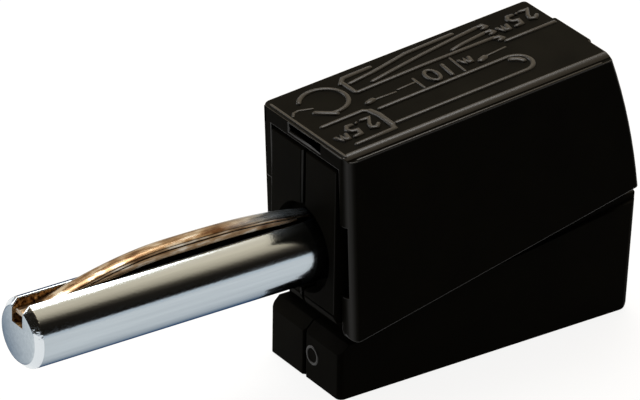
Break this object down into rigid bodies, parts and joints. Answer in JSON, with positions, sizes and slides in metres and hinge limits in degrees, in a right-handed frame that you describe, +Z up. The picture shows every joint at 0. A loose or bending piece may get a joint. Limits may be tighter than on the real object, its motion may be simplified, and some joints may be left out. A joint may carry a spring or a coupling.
{
  "type": "banana plug",
  "caption": "Black banana plug with a slotted 4 mm pin, a bowed contact leaf, a split inner body holding a spring clamp, and a rocking cap that opens the clamp.",
  "frame": {"origin": "on the pin axis, in the plane of the inner body's front face", "axes": "+X along the pin towards the wire entry, +Y to the left seen from the wire end, +Z up from the base"},
  "size_m": [0.0384, 0.0082, 0.0167],
  "materials": {
    "black_polyamide": "moulded, fine matte",
    "nickel_plated_brass": "turned, bright nickel plate",
    "spring_bronze": "rolled strip",
    "tinned_copper": "tin plate",
    "spring_steel": "rolled strip"
  },
  "bodies": {
    "housing": {"body_left": "black_polyamide", "body_right": "black_polyamide", "contact_pin": "nickel_plated_brass", "current_bar": "tinned_copper", "clamp_spring": "spring_steel"},
    "cap": {"press_cap": "black_polyamide"},
    "leaf": {"contact_leaf": "spring_bronze"}
  },
  "joints": [
    {"name": "cap_press", "type": "hinge", "parent": "housing", "child": "cap", "pos_m": [0.0039, 0, 0.0007], "axis": [0, 1, 0], "range_deg": [0, 4.5], "stiffness_Nm_per_rad": 1.5, "springref_deg": -2.86, "deforming": ["clamp_spring"]},
    {"name": "leaf_flex", "type": "hinge", "parent": "housing", "child": "leaf", "pos_m": [-0.01795, 0, 0.00131], "axis": [0, 1, 0], "range_deg": [0, 3.3], "stiffness_Nm_per_rad": 0.4}
  ]
}
